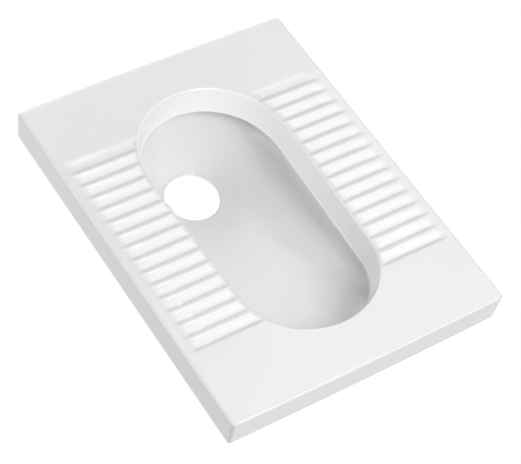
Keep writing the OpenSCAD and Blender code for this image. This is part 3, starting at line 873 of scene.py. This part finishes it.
def plain_floor():
    """A wide pale floor that glows faintly. The camera sees it evenly white, as a light table."""
    size = FLOOR_REACH
    mesh = bpy.data.meshes.new("studio_floor")
    corners = [(-size, -size, 0), (size, -size, 0), (size, size, 0), (-size, size, 0)]
    mesh.from_pydata(corners, [], [(0, 1, 2, 3)])
    floor = bpy.data.objects.new("studio_floor", mesh)
    bpy.context.scene.collection.objects.link(floor)
    material, nodes, position, shader = fresh_material("studio_floor_white")
    speck = nodes.add("TexNoise", {"Vector": position, "Scale": 8.0})
    tone = nodes.blend(speck.outputs["Fac"], (0.29, 0.29, 0.29, 1), (0.31, 0.31, 0.31, 1))
    nodes.tree.links.new(tone, shader.inputs["Base Color"])
    shader.inputs["Roughness"].default_value = 0.9
    shader.inputs["Specular IOR Level"].default_value = 0.1
    shader.inputs["Emission Color"].default_value = (1, 1, 1, 1)
    shader.inputs["Emission Strength"].default_value = 0.6
    glow = nodes.add("Emission", {"Color": (1, 1, 1, 1), "Strength": 1.0})
    camera_ray = nodes.add("LightPath").outputs["Is Camera Ray"]
    both = nodes.add("MixShader", {0: camera_ray, 1: shader.outputs[0], 2: glow.outputs[0]})
    output = next(node for node in nodes.tree.nodes if node.type == "OUTPUT_MATERIAL")
    nodes.tree.links.new(both.outputs[0], output.inputs["Surface"])
    floor.data.materials.append(material)
    return floor


def soft_box(name, place, aim, size, radiance, shape="SQUARE"):
    """A square or round soft light of this radiance that faces the point aim."""
    lamp = bpy.data.lights.new(name, "AREA")
    lamp.shape = shape
    lamp.size = size
    lamp.energy = radiance * math.pi * size * size * (math.pi / 4 if shape == "DISK" else 1)
    holder = bpy.data.objects.new(name, lamp)
    holder.location = place
    holder.rotation_euler = (Vector(aim) - Vector(place)).to_track_quat("-Z", "Y").to_euler()
    bpy.context.scene.collection.objects.link(holder)
    return holder


# Each soft box's azimuth, counter-clockwise from the pan's right side, elevation, width and
# radiance
SOFT_BOX_DISTANCE = 2.6
SOFT_BOXES = (
    ("front_light", 267, 53, 1.35, 10.5),
    ("left_low_light", 163, 12, 1.6, 2.0),
    ("right_light", 20, 50, 1.6, 1.3),
    ("back_low_light", 90, 4, 1.6, 2.7),
    ("back_light", 90, 35, 1.6, 1.45),
    ("back_right_light", 45, 30, 1.6, 1.1),
    ("back_left_light", 135, 30, 1.6, 1.1),
    ("mouth_light", 75, 38, 1.1, 0.65),
    ("rib_light", 63, 9, 0.9, 1.4),
)


def studio():
    plain_floor()
    world = bpy.data.worlds.new("studio")
    bpy.context.scene.world = world
    world.use_nodes = True
    tree = world.node_tree
    tree.nodes.clear()
    nodes = Nodes(tree)
    seen = nodes.add("Background", {"Color": (1, 1, 1, 1), "Strength": 1.0})
    light = nodes.add("Background", {"Color": (1, 1, 1, 1), "Strength": 0.0})
    camera_ray = nodes.add("LightPath").outputs["Is Camera Ray"]
    both = nodes.add("MixShader", {0: camera_ray, 1: light.outputs[0], 2: seen.outputs[0]})
    nodes.add("OutputWorld", {"Surface": both.outputs[0]})
    middle = np.array([0, 0, 0.15])
    for name, azimuth, elevation, width, radiance in SOFT_BOXES:
        rise = math.radians(elevation)
        away = np.array([*polar(azimuth, math.cos(rise)), math.sin(rise)])
        soft_box(name, middle + away * SOFT_BOX_DISTANCE, middle, width, radiance)
    # A lamp in the drain, so that the spigot's bore looks as white as the floor
    soft_box("drain_light", (0, OUTLET_Y, 1 * MM), (0, OUTLET_Y, 1), 79 * MM, 2.0, "DISK")


CAMERA_PLACE = (-1.05532, -1.10050, 2.10217)
CAMERA_AZIMUTH = -44.3103
CAMERA_ELEVATION = 52.1533
CAMERA_ROLL = 14.4608
CAMERA_LENS = 125.38


def photo_camera():
    camera = bpy.data.cameras.new("camera")
    camera.sensor_fit = "HORIZONTAL"
    camera.sensor_width = 36
    camera.lens = CAMERA_LENS
    camera.clip_end = 200
    a, e, roll = (math.radians(v) for v in (CAMERA_AZIMUTH, CAMERA_ELEVATION, CAMERA_ROLL))
    back = Vector((math.sin(a) * math.cos(e), -math.cos(a) * math.cos(e), math.sin(e)))
    right = Vector((math.cos(a), math.sin(a), 0))
    up = back.cross(right)
    turned_right = math.cos(roll) * right + math.sin(roll) * up
    turned_up = -math.sin(roll) * right + math.cos(roll) * up
    rotation = Matrix((turned_right, turned_up, back)).transposed()
    holder = bpy.data.objects.new("camera", camera)
    holder.matrix_world = Matrix.Translation(CAMERA_PLACE) @ rotation.to_4x4()
    bpy.context.scene.collection.objects.link(holder)
    bpy.context.scene.camera = holder


# ---- The pan ----

photo_camera()
studio()
bpy.context.scene.view_settings.view_transform = "Standard"

GROUPS.update(ripple=glaze_ripple_group(), tone=glaze_tone_group(), line=glaze_line_group(),
              groove=rib_groove_group())
deck_glaze = white_glaze("deck_glaze", SKIRT_BASE + 1.2 * MM, deck_tones)
rim_glaze = white_glaze("rim_glaze", 2 * MM, rim_tones)
bowl_glaze = white_glaze("bowl_glaze", 2 * MM, bowl_tones)
rubber = black_rubber()

spoke_ys, deck = make_deck()
rim = make_rim(spoke_ys)
bowl = make_bowl(bowl_ys(BOWL_SPOKES))
for piece, node, finish in ((deck, "deck", deck_glaze), (rim, "flushing_rim", rim_glaze),
                            (bowl, "bowl", bowl_glaze)):
    paint(piece, finish)
    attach(piece, "root")
    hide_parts(node)

for node, finish in (("outlet_spigot", bowl_glaze), ("inlet_horn", bowl_glaze),
                     ("side_webs", bowl_glaze), ("inlet_seal", rubber), ("outlet_seal", rubber)):
    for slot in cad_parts[node].material_slots:
        slot.material = finish
